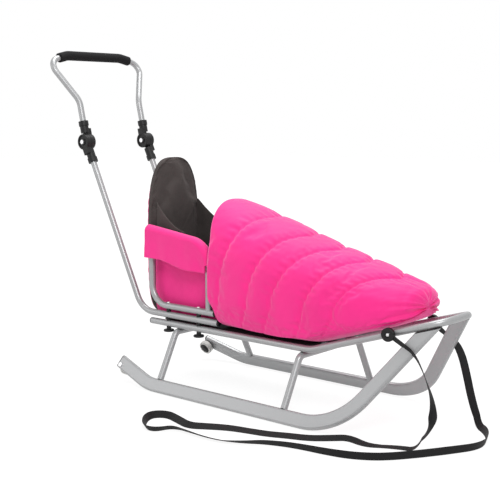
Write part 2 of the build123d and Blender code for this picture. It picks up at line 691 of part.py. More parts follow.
# Seams pull in and the lanes between them swell
quilt = []
for seam, after in zip(BAG_SEAMS, BAG_SEAMS[1:]):
    quilt.append((seam, -BAG_SEAM))
    quilt.append((seam + SEAM_HALF, BAG_PUFF / 2))
    quilt.append(((seam + after) / 2, BAG_PUFF))
    quilt.append((after - SEAM_HALF, BAG_PUFF / 2))
quilt.append((BAG_SEAMS[-1], -BAG_SEAM))
far_top = BAG_BODY[0][2]
BEHIND = 4 * BAG_BODY[0][0]
with BuildPart() as bag:
    for top_x, grow in quilt:
        plane, points = quilt_section(top_x, grow)
        with BuildSketch(plane):
            with BuildLine():
                Spline(*points, periodic=True)
            make_face()
    loft(ruled=True)
    split(bisect_by=Plane.XY.offset(bag_z), keep=Keep.TOP)
    split(bisect_by=under_rail.offset(TUBE_D + SEAT_GAP + BAG_RAIL_GAP), keep=Keep.TOP)
    # Mouth: set back over the armrests as a hood, and forward of the clamped tubes' ends at the foot
    with BuildSketch(Plane.XZ):
        with BuildLine():
            Polyline(
                (at_x(BEHIND), 0),
                (at_x(MOUTH_FOOT_X), 0),
                (at_x(MOUTH_FOOT_X), MOUTH_FOOT_Z),
                (at_x(MOUTH_X), MOUTH_FOOT_Z + MOUTH_FOOT_RISE),
                (at_x(MOUTH_X), MOUTH_HOOD_Z),
                (at_x(MOUTH_HOOD_X), far_top),
                (at_x(MOUTH_HOOD_X), 2 * far_top),
                (at_x(BEHIND), 2 * far_top),
                close=True,
            )
        make_face()
    extrude(amount=2 * HALF_TRACK, both=True, mode=Mode.SUBTRACT)
    # Pocket for the legs
    for x in (BAG_BODY[0][0], MOUTH_X, BAG_DEPTH):
        half, top, low = bag_body(x)
        low = low + BAG_WALL
        high = top - BAG_WALL
        with BuildSketch(across(x, (low + high) / 2)):
            RectangleRounded(2 * (half - BAG_WALL), high - low, (high - low) / 3)
    loft(mode=Mode.SUBTRACT)
save(bag.part, "muff_bag")

# Muff: back panel between the armrests, with an arched top
slope = atan2(LOOP_TOP_REAR_Z - LOOP_TOP_FRONT_Z, LOOP_POST_X - LOOP_REAR_X)
wing_inner = TUBE_R + WING_GAP
wing_outer = wing_inner + WING_T
back_half = RAIL_HALF - wing_outer - BACK_SIDE_GAP
with BuildPart() as back:
    with BuildSketch(across(BACK_X - BACK_T, (bag_z + BACK_TOP_Z) / 2)) as outline:
        Rectangle(2 * back_half, BACK_TOP_Z - bag_z)
        fillet(outline.vertices().group_by(Axis.Y)[-1], BACK_ARCH)
        fillet(outline.vertices().group_by(Axis.Y)[0], BACK_FOOT_R)
    extrude(amount=BACK_T)
    fillet(back.faces().filter_by(Axis.X).edges(), BACK_EDGE)
save(back.part, "muff_back")

# Muff: side walls inside the armrest loops and flaps folded over the armrests
wall_out = RAIL_HALF - wing_outer - SEAT_GAP
wall_rear = BACK_X + SEAT_GAP
wall_front = MOUTH_X - SEAT_GAP
wall_top = LOOP_TOP_FRONT_Z - TUBE_R
for name, side in SIDES:
    with BuildPart() as wall:
        with BuildSketch(Plane.XY.offset(bag_z)):
            with Locations((at_x((wall_rear + wall_front) / 2), side * (wall_out - SIDE_T / 2))):
                Rectangle(wall_front - wall_rear, SIDE_T)
        extrude(amount=wall_top - bag_z)
    save(wall.part, f"muff_side_{name}")

    # The fold runs along the armrest and down round its front bend; the leaves hang on both sides
    y = side * RAIL_HALF
    rear_x = LOOP_REAR_X - TUBE_R - WING_END
    rear_z = LOOP_TOP_REAR_Z + (LOOP_REAR_X - rear_x) * tan(slope)
    hem = LOOP_TOP_FRONT_Z - WING_DROP_OUT
    front_x = LOOP_POST_X + wing_outer
    with BuildPart() as wing:
        with BuildLine() as fold:
            FilletPolyline(
                (at_x(rear_x), y, rear_z),
                (at_x(LOOP_POST_X), y, LOOP_TOP_FRONT_Z),
                (at_x(LOOP_POST_X), y, hem),
                radius=LOOP_FRONT_R,
            )
        with BuildSketch(Plane(origin=fold.line @ 0, z_dir=fold.line % 0)):
            Circle(wing_outer)
            Circle(wing_inner, mode=Mode.SUBTRACT)
        sweep(path=fold.line)
        # Open below where the armrest turns down at the rear
        slot_x = LOOP_REAR_X + LOOP_TOP_R + TUBE_R
        slot_z = LOOP_TOP_REAR_Z - (slot_x - LOOP_REAR_X) * tan(slope)
        with BuildSketch(Plane.XZ.offset(-y)):
            with BuildLine():
                Polyline(
                    (at_x(rear_x), rear_z),
                    (at_x(slot_x), slot_z),
                    (at_x(slot_x), slot_z - TUBE_D),
                    (at_x(rear_x - TUBE_D), rear_z - TUBE_D),
                    (at_x(rear_x - TUBE_D), rear_z),
                    close=True,
                )
            make_face()
        extrude(amount=wing_inner, both=True, mode=Mode.SUBTRACT)
        for way, drop in ((1, WING_DROP_OUT), (-1, WING_DROP_IN)):
            with BuildSketch(Plane.XZ.offset(-(y + side * way * (wing_inner + WING_T / 2)))) as leaf:
                with BuildLine():
                    Polyline(
                        (at_x(rear_x), rear_z),
                        (at_x(LOOP_POST_X), LOOP_TOP_FRONT_Z),
                        (at_x(LOOP_POST_X), LOOP_TOP_FRONT_Z - drop),
                        (at_x(rear_x), rear_z - drop),
                        close=True,
                    )
                make_face()
                fillet(leaf.vertices().sort_by(Axis.X)[-2:].sort_by(Axis.Y)[-1], min(LOOP_FRONT_R, drop * WING_CURVE))
            extrude(amount=WING_T / 2, both=True)
    save(wing.part, f"muff_wing_{name}")

# Tow strap: lies along the floor from one tow knob to the other
strap_points = [tow_hooks["right"]]
strap_points += [Vector(at_x(x), y, z) for x, y, z in STRAP_ROUTE]
strap_points += [tow_hooks["left"]]
strap_radii = []
for a, b, c in zip(strap_points, strap_points[1:], strap_points[2:]):
    run = min((b - a).length, (c - b).length)
    turn = (b - a).get_angle(c - b)
    strap_radii.append(0.45 * run / tan(radians(turn / 2)))
print("strap radii", min(strap_radii), max(strap_radii))
with BuildPart() as strap:
    with BuildLine() as path:
        FilletPolyline(*strap_points, radius=strap_radii)
    with BuildSketch(Plane(origin=path.line @ 0, z_dir=path.line % 0)):
        Circle(STRAP_D / 2)
    sweep(path=path.line)
strap_length = path.wires()[0].length
print("strap length", strap_length, "volume share", strap.part.volume / (strap_length * pi * STRAP_D ** 2 / 4))
save(strap.part, "tow_strap")
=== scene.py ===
"""Child's push sled: padded muff, webbing strap, small fittings and finishes on the tube frame."""

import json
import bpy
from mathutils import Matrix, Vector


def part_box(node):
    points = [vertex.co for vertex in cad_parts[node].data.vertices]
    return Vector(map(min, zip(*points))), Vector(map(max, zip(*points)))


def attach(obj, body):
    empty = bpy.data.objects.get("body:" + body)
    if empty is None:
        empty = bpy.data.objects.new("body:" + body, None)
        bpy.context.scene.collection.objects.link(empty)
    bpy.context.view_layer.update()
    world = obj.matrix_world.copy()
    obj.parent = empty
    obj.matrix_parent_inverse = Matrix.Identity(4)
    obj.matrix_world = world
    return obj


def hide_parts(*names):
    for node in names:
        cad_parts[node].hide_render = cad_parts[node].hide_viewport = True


bl_info = {
    "name": "Push Sled",
    "version": (1, 0, 0),
    "blender": (4, 5, 0),
    "location": "View3D > Sidebar > Sled",
    "description": "Dresses a tube-frame child's sled with its muff, strap, fittings and finishes",
    "category": "Add Mesh",
}

import bpy
import numpy as np
from bpy.props import FloatProperty, FloatVectorProperty, IntProperty, PointerProperty
from mathutils import Vector

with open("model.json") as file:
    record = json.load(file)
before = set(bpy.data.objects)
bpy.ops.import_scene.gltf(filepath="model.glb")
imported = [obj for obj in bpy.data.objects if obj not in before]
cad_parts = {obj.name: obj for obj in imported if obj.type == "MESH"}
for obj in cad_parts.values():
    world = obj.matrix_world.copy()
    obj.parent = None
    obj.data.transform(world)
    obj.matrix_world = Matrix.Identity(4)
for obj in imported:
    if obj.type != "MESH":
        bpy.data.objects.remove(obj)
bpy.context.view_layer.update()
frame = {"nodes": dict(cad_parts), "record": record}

# Stations along the sled are measured from midway between the hoops; the frame's origin is further back
SHIFT = 0.0725
RAIL_HALF = 0.120


# Array helpers

def unit(v):
    """Each vector divided by its own length."""
    return v / np.maximum(np.linalg.norm(v, axis=-1, keepdims=True), 1e-12)


def hermite(xs, ys, x):
    """Cubic Hermite curve through a table, with each tangent the mean slope of its neighbours."""
    xs = np.asarray(xs, float)
    ys = np.asarray(ys, float)
    slope = np.gradient(ys, xs)
    i = np.clip(np.searchsorted(xs, x) - 1, 0, len(xs) - 2)
    step = xs[i + 1] - xs[i]
    t = np.clip((x - xs[i]) / step, 0.0, 1.0)
    return ((2 * t**3 - 3 * t**2 + 1) * ys[i] + (t**3 - 2 * t**2 + t) * step * slope[i]
            + (3 * t**2 - 2 * t**3) * ys[i + 1] + (t**3 - t**2) * step * slope[i + 1])


def power(value, exponent):
    """A power that keeps the sign, for rounded-box profiles."""
    return np.sign(value) * np.abs(value) ** exponent


def ripple(a, b, seed, octaves=4):
    """Smooth uneven field on two parameters: a sum of sines with seeded directions and phases."""
    rng = np.random.default_rng(seed)
    total = np.zeros(np.broadcast(a, b).shape)
    for k in range(octaves):
        turn = rng.uniform(0, 2 * np.pi, 3)
        total += np.sin((a * np.cos(turn[0]) + b * np.sin(turn[0])) * 1.7**k + turn[1]) / 1.35**k
    return total / octaves


def grid_faces(rows, cols, wrap):
    """Quads of a grid of rows and columns; wrap joins the last column to the first."""
    last = cols if wrap else cols - 1
    r, c = np.meshgrid(np.arange(rows - 1), np.arange(last), indexing="ij")
    n = (c + 1) % cols
    return np.stack([r * cols + c, r * cols + n, (r + 1) * cols + n, (r + 1) * cols + c], -1).reshape(-1, 4)


def surface(name, points, wrap=False, ends=False, strip=False, uv_scale=(1.0, 1.0)):
    """Mesh object from a grid of points, with a UV map in metres.

    ends closes each end ring to a pole; strip sews the ring's first half to its second half.
    """
    rows, cols = points.shape[:2]
    verts = points.reshape(-1, 3)
    faces = grid_faces(rows, cols, wrap).tolist()
    if ends:
        verts = np.vstack([verts, points[0].mean(0), points[-1].mean(0)])
        ring = np.arange(cols)
        nxt = (ring + 1) % cols
        low = rows * cols
        base = (rows - 1) * cols
        faces += np.stack([np.full(cols, low), nxt, ring], -1).tolist()
        faces += np.stack([np.full(cols, low + 1), base + ring, base + nxt], -1).tolist()
    if strip:
        i = np.arange(cols // 2 - 1)
        cap = np.stack([i, i + 1, cols - 2 - i, cols - 1 - i], -1)
        faces += cap[:, ::-1].tolist()
        faces += (cap + (rows - 1) * cols).tolist()
    mesh = bpy.data.meshes.new(name)
    mesh.from_pydata(verts.tolist(), [], faces)
    along = np.linspace(0, uv_scale[1], rows)[:, None] + np.zeros((rows, cols))
    round_ = np.linspace(0, uv_scale[0], cols + (1 if wrap else 0))[:cols][None, :] + np.zeros((rows, cols))
    flat = np.stack([round_, along], -1).reshape(-1, 2)
    if ends:
        flat = np.vstack([flat, [[uv_scale[0] / 2, 0.0]], [[uv_scale[0] / 2, uv_scale[1]]]])
    loops = np.empty(len(mesh.loops), np.int32)
    mesh.loops.foreach_get("vertex_index", loops)
    mesh.uv_layers.new(name="UVMap").data.foreach_set("uv", flat[loops].astype(np.float32).ravel())
    mesh.polygons.foreach_set("use_smooth", np.ones(len(mesh.polygons), bool))
    mesh.update()
    obj = bpy.data.objects.new(name, mesh)
    bpy.context.scene.collection.objects.link(obj)
    return obj


def outward(obj):
    """Turns the faces of a closed mesh outwards: its signed volume is made positive."""
    mesh = obj.data
    mesh.calc_loop_triangles()
    tri = np.empty(len(mesh.loop_triangles) * 3, np.int32)
    mesh.loop_triangles.foreach_get("vertices", tri)
    co = coords(mesh)
    a, b, c = co[tri.reshape(-1, 3)].transpose(1, 0, 2)
    if np.einsum("ij,ij->i", a, np.cross(b, c)).sum() < 0:
        mesh.flip_normals()
    return obj


def coords(mesh):
    """Vertex places of a mesh as an array."""
    out = np.empty(len(mesh.vertices) * 3, np.float32)
    mesh.vertices.foreach_get("co", out)
    return out.reshape(-1, 3).astype(float)


def face_centres(obj):
    """Middle of each face of a mesh object as an array."""
    out = np.zeros(len(obj.data.polygons) * 3, np.float32)
    obj.data.polygons.foreach_get("center", out)
    return out.reshape(-1, 3)


def put_coords(mesh, co):
    """Writes an array of vertex places into a mesh."""
    mesh.vertices.foreach_set("co", co.astype(np.float32).ravel())
    mesh.update()


def rounded_run(points, radii, step=0.003):
    """Path through corner points: straight runs joined by arcs of the given radii, in even steps.

    Each arc leaves its runs at the radius times the tangent of half the turn from the corner.
    """
    out = [points[:1]]
    for a, p, b, r in zip(points[:-2], points[1:-1], points[2:], radii):
        first, last = unit(p - a), unit(b - p)
        turn = np.arccos(np.clip(first @ last, -1, 1))
        begin = p - first * r * np.tan(turn / 2)
        inward = unit(last - first * (first @ last))
        s = np.linspace(0, turn, 24)[:, None]
        out.append(begin + inward * r * (1 - np.cos(s)) + first * r * np.sin(s))
    line = np.concatenate(out + [points[-1:]])
    far = np.r_[0, np.cumsum(np.linalg.norm(np.diff(line, axis=0), axis=1))]
    at = np.linspace(0, far[-1], int(far[-1] / step))
    return np.stack([np.interp(at, far, line[:, k]) for k in range(3)], -1)


def tube(name, path, radius, sides=16, level=None):
    """Round tube: a circle of the given radius carried along a path.

    level is a direction that the path never takes, for a path that turns from upright to flat.
    """
    tangent = unit(np.gradient(path, axis=0))
    ref = np.where(np.abs(tangent[:, 2:3]) > 0.9, [[1.0, 0, 0]], [[0, 0, 1.0]])
    if level is not None:
        ref = np.broadcast_to(np.asarray(level, float), tangent.shape)
    side = unit(np.cross(tangent, ref))
    up = np.cross(side, tangent)
    a = np.linspace(0, 2 * np.pi, sides, endpoint=False)
    ring = side[:, None] * np.cos(a)[None, :, None] + up[:, None] * np.sin(a)[None, :, None]
    radius = np.broadcast_to(np.asarray(radius, float), (len(path),))
    return outward(surface(name, path[:, None] + ring * radius[:, None, None], wrap=True, ends=True))


def turned(name, profile, centre, axis, sides=40):
    """Turned piece: a profile of (distance along the axis, radius) carried round the axis."""
    axis = unit(np.asarray(axis, float))
    ref = np.array([1.0, 0, 0]) if abs(axis[0]) < 0.8 else np.array([0, 0, 1.0])
    side = unit(np.cross(axis, ref))
    up = np.cross(axis, side)
    a = np.linspace(0, 2 * np.pi, sides, endpoint=False)
    ring = side * np.cos(a)[:, None] + up * np.sin(a)[:, None]
    profile = np.asarray(profile, float)
    pts = np.asarray(centre) + axis * profile[:, 0][:, None, None] + ring[None] * profile[:, 1][:, None, None]
    return outward(surface(name, pts, wrap=True, ends=True))


def subdivide(obj, levels=1):
    """Adds a subdivision surface with equal view and render levels."""
    mod = obj.modifiers.new("Smooth", "SUBSURF")
    mod.levels = levels
    mod.render_levels = levels


def inflate(obj, pins, pressure, frames, cap, slack=0.0):
    """Swells a closed cloth under inner pressure between pinned seams, then keeps the shape."""
    start = coords(obj.data)
    group = obj.vertex_groups.new(name="pin")
    for weight in np.unique(np.round(pins[pins > 0.02], 2)):
        group.add(np.nonzero(np.abs(pins - weight) < 0.005)[0].tolist(), float(weight), "REPLACE")
    mod = obj.modifiers.new("Cloth", "CLOTH")
    cloth = mod.settings
    cloth.quality = 6
    cloth.mass = 0.25
    cloth.tension_stiffness = 12
    cloth.compression_stiffness = 12
    cloth.shear_stiffness = 4
    cloth.bending_stiffness = 0.6
    cloth.use_pressure = True
    cloth.uniform_pressure_force = pressure
    cloth.shrink_min = -slack
    cloth.vertex_group_mass = "pin"
    cloth.effector_weights.gravity = 0.0
    mod.collision_settings.use_collision = False
    mod.point_cache.frame_start = 1
    mod.point_cache.frame_end = frames
    scene = bpy.context.scene
    for f in range(1, frames + 1):
        scene.frame_set(f)
    shaped = obj.evaluated_get(bpy.context.evaluated_depsgraph_get()).to_mesh()
    move = coords(shaped) - start
    far = np.linalg.norm(move, axis=1, keepdims=True)
    move *= np.minimum(1.0, cap / np.maximum(far, 1e-9))
    obj.modifiers.remove(mod)
    obj.vertex_groups.remove(group)
    put_coords(obj.data, start + move)
    scene.frame_set(1)


# Finishes

def finish_nodes(name):
    """New material with its Principled shader and a small helper that adds linked nodes."""
    mat = bpy.data.materials.new(name)
    mat.use_nodes = True
    tree = mat.node_tree
    shader = tree.nodes["Principled BSDF"]

    def add(kind, links=(), **values):
        node = tree.nodes.new(kind)
        for key, value in values.items():
            if key.startswith("in_"):
                node.inputs[int(key[3:])].default_value = value
            else:
                setattr(node, key, value)
        for source, socket in links:
            tree.links.new(source, node.inputs[socket])
        return node

    return mat, tree, shader, add


def set_sockets(shader, **values):
    """Sets numbers and colours on the shader's own sockets."""
    for key, value in values.items():
        shader.inputs[key.replace("_", " ")].default_value = value


def shade_ramp(add, fac, low, high, start=0.3, end=0.7):
    """Colour ramp between two colours."""
    ramp = add("ShaderNodeValToRGB", [(fac, 0)])
    ramp.color_ramp.elements[0].position = start
    ramp.color_ramp.elements[0].color = (*low, 1)
    ramp.color_ramp.elements[1].position = end
    ramp.color_ramp.elements[1].color = (*high, 1)
    return ramp


def noise(add, place, scale):
    """Noise on the object's own coordinates, at a scale per metre."""
    node = add("ShaderNodeTexNoise", [(place.outputs["Object"], "Vector")])
    node.inputs["Scale"].default_value = scale
    return node


def relief(add, height, strength, distance, over=None):
    """Bump from a texture, on top of another bump where one is given."""
    links = [(height.outputs[0], "Height")]
    if over:
        links.append((over.outputs[0], "Normal"))
    node = add("ShaderNodeBump", links)
    node.inputs["Strength"].default_value = strength
    node.inputs["Distance"].default_value = distance
    return node


def silver_paint(colour):
    """Satin silver enamel on steel tube: flake speckle, soft orange peel, a faint broad mottle in tone and
    gloss.
    """
    mat, tree, shader, add = finish_nodes("silver enamel")
    place = add("ShaderNodeTexCoord")
    flake = noise(add, place, 1400)
    broad = noise(add, place, 9)
    broad.inputs["Detail"].default_value = 5
    base = np.array(colour)
    tone = shade_ramp(add, flake.outputs[0], base * 0.95, base * 1.04)
    veil = shade_ramp(add, broad.outputs[0], (0.96,) * 3, (1.0,) * 3, 0.35, 0.65)
    mix = add("ShaderNodeMix", data_type="RGBA", blend_type="MULTIPLY")
    mix.inputs[0].default_value = 1.0
    tree.links.new(tone.outputs[0], mix.inputs[6])
    tree.links.new(veil.outputs[0], mix.inputs[7])
    tree.links.new(mix.outputs[2], shader.inputs["Base Color"])
    rough = add("ShaderNodeMapRange", [(broad.outputs[0], 0)])
    rough.inputs[3].default_value = 0.30
    rough.inputs[4].default_value = 0.44
    tree.links.new(rough.outputs[0], shader.inputs["Roughness"])
    peel = noise(add, place, 420)
    bump = relief(add, peel, 0.03, 0.0005)
    tree.links.new(bump.outputs[0], shader.inputs["Normal"])
    set_sockets(shader, Metallic=0.45)
    return mat


def moulded_plastic(name, colour, roughness=0.46, grain=700, strength=0.15):
    """Moulded plastic: fine spark-eroded grain and slight tone change."""
    mat, tree, shader, add = finish_nodes(name)
    place = add("ShaderNodeTexCoord")
    fine = noise(add, place, grain)
    broad = noise(add, place, 30)
    base = np.array(colour)
    tone = shade_ramp(add, broad.outputs[0], base * 0.85, base * 1.2 + 0.002)
    tree.links.new(tone.outputs[0], shader.inputs["Base Color"])
    rough = add("ShaderNodeMapRange", [(broad.outputs[0], 0)])
    rough.inputs[3].default_value = roughness - 0.06
    rough.inputs[4].default_value = roughness + 0.08
    tree.links.new(rough.outputs[0], shader.inputs["Roughness"])
    bump = relief(add, fine, strength, 0.0004)
    tree.links.new(bump.outputs[0], shader.inputs["Normal"])
    shader.inputs["Specular IOR Level"].default_value = 0.28
    return mat


def foam_rubber(colour):
    """Closed-cell foam: small round cells and a dry surface."""
    mat, tree, shader, add = finish_nodes("cell foam")
    place = add("ShaderNodeTexCoord")
    cell = add("ShaderNodeTexVoronoi", [(place.outputs["Object"], "Vector")])
    cell.inputs["Scale"].default_value = 650
    base = np.array(colour)
    tone = shade_ramp(add, cell.outputs[0], base * 0.7, base * 1.5, 0.1, 0.8)
    tree.links.new(tone.outputs[0], shader.inputs["Base Color"])
    bump = relief(add, cell, 0.35, 0.0008)
    tree.links.new(bump.outputs[0], shader.inputs["Normal"])
    set_sockets(shader, Roughness=0.86)
    shader.inputs["Specular IOR Level"].default_value = 0.2
    return mat


def woven_cloth(name, colour, weave=2200.0, crease=0.35, sheen=0.25, roughness=0.6, tone=0.1, pale=0.05):
    """Woven cloth: crossed threads on the piece's own UV map, broad soft creases and a slight sheen."""
    mat, tree, shader, add = finish_nodes(name)
    place = add("ShaderNodeTexCoord")
    warp = add("ShaderNodeTexWave", [(place.outputs["UV"], "Vector")], bands_direction="X")
    weft = add("ShaderNodeTexWave", [(place.outputs["UV"], "Vector")], bands_direction="Y")
    for wave in (warp, weft):
        wave.inputs["Scale"].default_value = weave / 20
        wave.inputs["Distortion"].default_value = 0.4
    thread = add("ShaderNodeMath", [(warp.outputs[1], 0), (weft.outputs[1], 1)], operation="MULTIPLY")
    fold = noise(add, place, 26)
    fold.inputs["Detail"].default_value = 6
    fold.inputs["Roughness"].default_value = 0.55
    broad = noise(add, place, 7)
    base = np.array(colour)
    shade = shade_ramp(add, broad.outputs[0], base * (1 - tone), np.minimum(base * (1 + tone), 1.0))
    tree.links.new(shade.outputs[0], shader.inputs["Base Color"])
    bump_fold = relief(add, fold, crease, 0.006)
    bump = relief(add, thread, 0.18, 0.0004, bump_fold)
    tree.links.new(bump.outputs[0], shader.inputs["Normal"])
    set_sockets(shader, Roughness=roughness, Sheen_Weight=sheen, Sheen_Roughness=0.5)
    shader.inputs["Sheen Tint"].default_value = (*np.minimum(base * 1.2 + pale, 1.0), 1)
    shader.inputs["Specular IOR Level"].default_value = 0.3
    return mat


def ribbed_webbing(colour):
    """Flat woven webbing: ribs across the strap and fine cords along it, on the strap's UV map."""
    mat, tree, shader, add = finish_nodes("black webbing")
    place = add("ShaderNodeTexCoord")
    ribs = add("ShaderNodeTexWave", [(place.outputs["UV"], "Vector")], bands_direction="Y")
    ribs.inputs["Scale"].default_value = 160
    cords = add("ShaderNodeTexWave", [(place.outputs["UV"], "Vector")], bands_direction="X")
    cords.inputs["Scale"].default_value = 130
    both = add("ShaderNodeMath", [(ribs.outputs[1], 0), (cords.outputs[1], 1)], operation="MULTIPLY")
    base = np.array(colour)
    tone = shade_ramp(add, both.outputs[0], base * 0.7, base * 1.5 + 0.001)
    tree.links.new(tone.outputs[0], shader.inputs["Base Color"])
    bump = relief(add, both, 0.5, 0.0005)
    tree.links.new(bump.outputs[0], shader.inputs["Normal"])
    set_sockets(shader, Roughness=0.7, Sheen_Weight=0.04)
    shader.inputs["Specular IOR Level"].default_value = 0.25
    return mat


def plated_steel(colour):
    """Zinc-plated fasteners: brushed streaks."""
    mat, tree, shader, add = finish_nodes("zinc plate")
    place = add("ShaderNodeTexCoord")
    streak = noise(add, place, 900)
    tone = shade_ramp(add, streak.outputs[0], np.array(colour) * 0.85, np.minimum(np.array(colour) * 1.1, 1))
    tree.links.new(tone.outputs[0], shader.inputs["Base Color"])
    rough = add("ShaderNodeMapRange", [(streak.outputs[0], 0)])
    rough.inputs[3].default_value = 0.25
    rough.inputs[4].default_value = 0.45
    tree.links.new(rough.outputs[0], shader.inputs["Roughness"])
    set_sockets(shader, Metallic=0.9)
    return mat


FINISHES = {}


def finish(key):
    """The named finish, made once."""
    if key in FINISHES:
        return FINISHES[key]
    colours = bpy.context.scene.sled_finishes
    makers = {
        "silver": lambda: silver_paint(colours.silver),
        "slat": lambda: moulded_plastic("slat lacquer", colours.slat, 0.5, 300, 0.08),
        "plastic": lambda: moulded_plastic("black plastic", colours.plastic),
        "wheel": lambda: moulded_plastic("pale wheel plastic", colours.wheel, 0.5, 500, 0.1),
        "foam": lambda: foam_rubber(colours.foam),
        "zinc": lambda: plated_steel(colours.zinc),
        "shell": lambda: woven_cloth("pink shell cloth", colours.shell, 2600, 0.24, 0.42, 0.62, 0.05, 0.62),
        "lining": lambda: woven_cloth("charcoal lining", colours.lining, 1500, 0.5, 0.2, 0.9, 0.22),
        "floor_cloth": lambda: woven_cloth("black floor cloth", colours.plastic, 2200, 0.4, 0.2, 0.75, 0.2),
        "webbing": lambda: ribbed_webbing(colours.webbing),
    }
    FINISHES[key] = makers[key]()
    return FINISHES[key]


def dress(obj, *keys):
    """Gives an object its finishes, in slot order."""
    for key in keys:
        obj.data.materials.append(finish(key))
    return obj


def coat_node(node, key):
    """Puts a finish on every material slot of a node of the frame."""
    obj = frame["nodes"][node]
    for slot in obj.material_slots:
        slot.material = finish(key)


def paint_faces(obj, index, mask):
    """Gives the faces in a mask another material slot."""
    mat = np.zeros(len(obj.data.polygons), np.int32)
    obj.data.polygons.foreach_get("material_index", mat)
    mat[mask] = index
    obj.data.polygons.foreach_set("material_index", mat)
    obj.data.update()


# Settings

class SledFinishes(bpy.types.PropertyGroup):
    """Colours of the sled's finishes."""
    silver: FloatVectorProperty(name="Silver", description="Enamel on the tubes", subtype="COLOR",
                                default=(0.36, 0.365, 0.37))
    slat: FloatVectorProperty(name="Slat", description="Seat slats", subtype="COLOR",
                              default=(0.36, 0.37, 0.39))
    plastic: FloatVectorProperty(name="Plastic", description="Plugs, knobs and joints", subtype="COLOR",
                                 default=(0.006, 0.006, 0.0065))
    wheel: FloatVectorProperty(name="Wheel", description="Wheel tyres", subtype="COLOR",
                               default=(0.62, 0.62, 0.60))
    foam: FloatVectorProperty(name="Foam", description="Handle grip", subtype="COLOR",
                              default=(0.008, 0.008, 0.0085))
    zinc: FloatVectorProperty(name="Zinc", description="Fasteners", subtype="COLOR",
                              default=(0.72, 0.72, 0.73))
    shell: FloatVectorProperty(name="Shell", description="Outer cloth of the muff", subtype="COLOR",
                               default=(0.86, 0.016, 0.235))
    lining: FloatVectorProperty(name="Lining", description="Inner cloth of the muff", subtype="COLOR",
                                default=(0.058, 0.048, 0.046))
    webbing: FloatVectorProperty(name="Webbing", description="Tow strap", subtype="COLOR",
                                 default=(0.004, 0.004, 0.0045))


class SledSizes(bpy.types.PropertyGroup):
    """Sizes of the soft pieces and of the picture."""
    azimuth: FloatProperty(name="Azimuth", description="Camera's turn round the sled in degrees",
                           default=40.514)
    elevation: FloatProperty(name="Elevation", description="Camera's height angle in degrees", default=7.706)
    distance: FloatProperty(name="Distance", description="Camera's distance", default=2.826, unit="LENGTH")
    focal: FloatProperty(name="Focal length", description="Lens in millimetres on a 36 mm sensor",
                         default=73.634)
    aim_x: FloatProperty(name="Aim along", description="Where the camera looks, along the sled",
                         default=0.0165, unit="LENGTH")
    aim_z: FloatProperty(name="Aim height", description="How high the camera looks", default=0.392,
                         unit="LENGTH")
    strap_width: FloatProperty(name="Strap width", description="Width of the webbing", default=0.020,
                               unit="LENGTH")
    strap_thick: FloatProperty(name="Strap thickness", description="Thickness of the webbing", default=0.0016,
                               unit="LENGTH")
    bar_width: FloatProperty(name="Bar", description="Diameter of the handle's tube", default=0.018,
                             unit="LENGTH")
    grip_width: FloatProperty(name="Grip", description="Diameter of the foam grip", default=0.0285,
                              unit="LENGTH")
    puff: FloatProperty(name="Puff", description="How far the bag swells between seams", default=0.0025,
                        unit="LENGTH")
    seam_depth: FloatProperty(name="Seam depth", description="How far a seam pulls in", default=0.0050,
                              unit="LENGTH")
    pad_wall: FloatProperty(name="Padding", description="Thickness of the bag's wall", default=0.024,
                            unit="LENGTH")
    bag_rows: IntProperty(name="Bag rows", description="Rows of the bag's grid from mouth to toe",
                          default=130)
    bag_cols: IntProperty(name="Bag columns", description="Columns of the bag's grid round its section",
                          default=150)


# Tow strap

STRAP_ROUTE = np.array([
    (478.5, -104.5, 240), (507, -108, 228), (548, -116, 211), (580, -126, 169), (610, -139, 121),
    (620, -151, 75), (604, -160, 33), (560, -168, 3), (513, -187, 3),
    (477, -211, 3), (420, -198, 3), (390, -228, 3), (351, -262, 3),
    (301, -279, 3), (255, -300, 3), (202, -311, 3), (151, -326, 3),
    (105, -354, 3), (68, -378, 3), (16, -362, 3), (-34, -349, 3),
    (-64, -377, 3), (-45, -420, 3), (1, -464, 3), (35, -456, 3),
    (48, -410, 3), (106, -412, 3), (154, -415, 3), (204, -409, 3),
    (255, -387, 3), (289, -362, 3), (345, -340, 3), (392, -331, 3),
    (439, -325, 3), (497, -312, 3), (545, -286, 3), (576, -256, 3),
    (609, -210, 3), (634, -170, 3), (663, -120, 3), (687, -75, 3),
    (690, -30, 3), (667, 24, 3), (636, 62, 3), (601, 89, 29),
    (577, 102, 75), (560, 112, 118), (538, 123, 168), (513, 127, 200), (492, 107, 221), (477.5, 104.5, 234),
]) / 1000

# Share of the strap's length, and how far the webbing stands up on its edge there, in degrees
STRAP_TILT = np.array([
    (0.00, 62), (0.05, 55), (0.10, 20), (0.16, 4), (0.20, 30), (0.30, 24), (0.36, 38), (0.40, 55), (0.45, 62),
    (0.50, 40), (0.56, 24), (0.60, 50), (0.68, 78), (0.78, 84), (0.86, 70), (0.92, 40), (1.00, 20),
])


def route_line(points, name, samples=16):
    """Points along the route's smooth spline, read from a curve that has no thickness."""
    curve = bpy.data.curves.new(name, "CURVE")
    curve.dimensions = "3D"
    curve.resolution_u = samples
    spline = curve.splines.new("NURBS")
    spline.points.add(len(points) - 1)
    weighted = np.column_stack([points, np.ones(len(points))])
    spline.points.foreach_set("co", weighted.astype(np.float32).ravel())
    spline.order_u = 3
    spline.use_endpoint_u = True
    holder = bpy.data.objects.new(name, curve)
    bpy.context.scene.collection.objects.link(holder)
    bpy.context.view_layer.update()
    mesh = bpy.data.meshes.new_from_object(holder.evaluated_get(bpy.context.evaluated_depsgraph_get()))
    line = coords(mesh)
    bpy.data.objects.remove(holder)
    bpy.data.meshes.remove(mesh)
    return line


